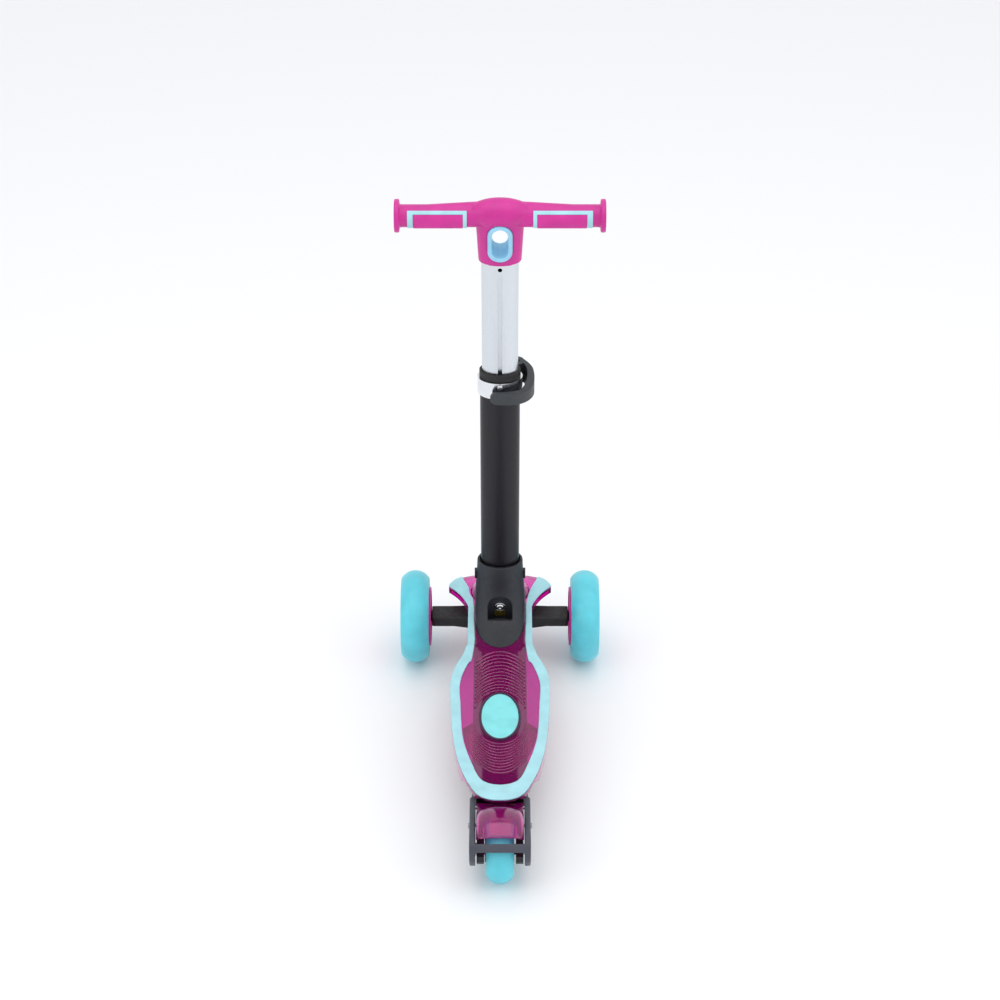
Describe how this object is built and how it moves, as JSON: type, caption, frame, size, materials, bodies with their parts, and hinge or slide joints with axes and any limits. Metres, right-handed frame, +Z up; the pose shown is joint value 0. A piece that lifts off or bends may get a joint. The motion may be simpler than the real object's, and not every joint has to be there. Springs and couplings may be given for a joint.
{
  "type": "kick scooter",
  "caption": "Child's three-wheeled lean-to-steer kick scooter with a detachable, height-adjustable T-bar, a clear deck with a soft frame and a sprung rear fender brake.",
  "frame": {"origin": "on the floor, under the middle of the scooter's length and width", "axes": "+X to the rider's right, +Y forward in the direction of travel, +Z up"},
  "size_m": [0.256, 0.54, 0.7152],
  "materials": {
    "magenta_clear": "clear magenta, glossy",
    "magenta_handle": "solid magenta moulding, satin gloss",
    "magenta_hub": "solid magenta moulding",
    "magenta_soft": "soft magenta grip, fine texture",
    "sky_soft": "soft light-blue overmould, matte",
    "turquoise_disc": "turquoise domed disc",
    "plum_bezel": "dark plum ring",
    "cyan_liner": "cyan liner, satin",
    "cyan_tyre": "translucent teal polyurethane",
    "black_nylon": "black fibre-filled nylon",
    "boot_grey": "dark grey moulded plastic, fine grain",
    "cover_grey": "mid grey moulded plastic",
    "lever_grey": "black nylon lever, matte",
    "black_tube": "satin black anodised oval tube",
    "silver_tube": "satin anodised oval tube",
    "collar_chrome": "polished collar",
    "zinc_yellow": "yellow zinc plated strip",
    "bolt_steel": "zinc plated steel",
    "chrome_small": "polished steel",
    "bearing_steel": "ground steel with grey shields",
    "elastomer": "amber elastomer"
  },
  "bodies": {
    "deck": {"deck_shell": "magenta_clear", "deck_pad": "sky_soft", "medallion": "turquoise_disc", "medallion_bezel": "plum_bezel", "chassis": "black_nylon", "socket_sleeve": "black_nylon", "boot": "boot_grey", "latch_bezel": "chrome_small", "latch_plate": "zinc_yellow", "latch_spring": "bolt_steel", "kingpin": "bolt_steel", "king_washer": "bolt_steel", "king_nut": "bolt_steel", "rear_yoke": "black_nylon", "rear_cover": "cover_grey", "rear_axle_bolt": "bolt_steel", "rear_axle_nut": "bolt_steel", "brake_pin": "bolt_steel", "brake_spring": "bolt_steel", "yoke_screws": "bolt_steel", "sleeve_screws": "bolt_steel", "cover_screws": "bolt_steel"},
    "steering_truck": {"axle_beam": "black_nylon", "upper_bushing": "elastomer", "lower_bushing": "elastomer", "front_axle_bolts": "bolt_steel"},
    "front_wheel_left": {"front_tyre_left": "cyan_tyre", "front_hub_left": "magenta_hub", "front_bearings_left": "bearing_steel", "front_spacer_left": "bolt_steel", "wheel_cap_left": "magenta_hub"},
    "front_wheel_right": {"front_tyre_right": "cyan_tyre", "front_hub_right": "magenta_hub", "front_bearings_right": "bearing_steel", "front_spacer_right": "bolt_steel", "wheel_cap_right": "magenta_hub"},
    "rear_wheel": {"rear_tyre": "cyan_tyre", "rear_hub": "magenta_hub", "rear_bearings": "bearing_steel", "rear_spacer": "bolt_steel"},
    "brake": {"brake_fender": "magenta_clear", "brake_shoe": "bolt_steel"},
    "latch": {"latch_button": "chrome_small"},
    "bar_lower": {"lower_tube": "black_tube", "tube_plug": "black_nylon", "bush_ring": "black_nylon", "clamp_collar": "collar_chrome", "clamp_bolt": "bolt_steel", "clamp_nut": "bolt_steel", "cam_pin": "bolt_steel", "cam_saddle": "lever_grey"},
    "lever": {"clamp_lever": "lever_grey"},
    "pin": {"height_pin": "chrome_small"},
    "bar_upper": {"upper_tube": "silver_tube", "tube_foot": "black_nylon", "handle": "magenta_handle", "slot_liner": "cyan_liner", "grip_pads": "magenta_soft", "grip_bands": "sky_soft"}
  },
  "joints": [
    {"name": "steer", "type": "hinge", "parent": "deck", "child": "steering_truck", "pos_m": [0, 0.206, 0.054], "axis": [0, 0.5736, 0.8192], "range_deg": [-10, 10], "stiffness_Nm_per_rad": 25},
    {"name": "front_wheel_left_spin", "type": "hinge", "parent": "steering_truck", "child": "front_wheel_left", "pos_m": [-0.11, 0.206, 0.06], "axis": [1, 0, 0], "continuous": true},
    {"name": "front_wheel_right_spin", "type": "hinge", "parent": "steering_truck", "child": "front_wheel_right", "pos_m": [0.11, 0.206, 0.06], "axis": [1, 0, 0], "continuous": true},
    {"name": "rear_wheel_spin", "type": "hinge", "parent": "deck", "child": "rear_wheel", "pos_m": [0, -0.23, 0.04], "axis": [1, 0, 0], "continuous": true},
    {"name": "brake_press", "type": "hinge", "parent": "deck", "child": "brake", "pos_m": [0, -0.186, 0.066], "axis": [1, 0, 0], "range_deg": [0, 4.6], "stiffness_Nm_per_rad": 2, "springref_deg": -2.86},
    {"name": "bar_release", "type": "slide", "parent": "deck", "child": "bar_lower", "axis": [0, -0.1392, 0.9903], "range_m": [0, 0.095]},
    {"name": "latch_press", "type": "slide", "parent": "deck", "child": "latch", "axis": [0, 0.9903, 0.1392], "range_m": [0, 0.0035], "stiffness_N_per_m": 400, "springref_m": -0.001, "deforming": ["latch_spring"]},
    {"name": "lever_open", "type": "hinge", "parent": "bar_lower", "child": "lever", "pos_m": [0.021, 0.15267, 0.45521], "axis": [0, -0.1392, 0.9903], "range_deg": [0, 100]},
    {"name": "pin_press", "type": "slide", "parent": "bar_lower", "child": "pin", "axis": [0, 0.9903, 0.1392], "range_m": [0, 0.0022], "stiffness_N_per_m": 300, "springref_m": -0.001},
    {"name": "bar_height", "type": "slide", "parent": "bar_lower", "child": "bar_upper", "axis": [0, -0.1392, 0.9903], "range_m": [-0.15, 0]}
  ]
}
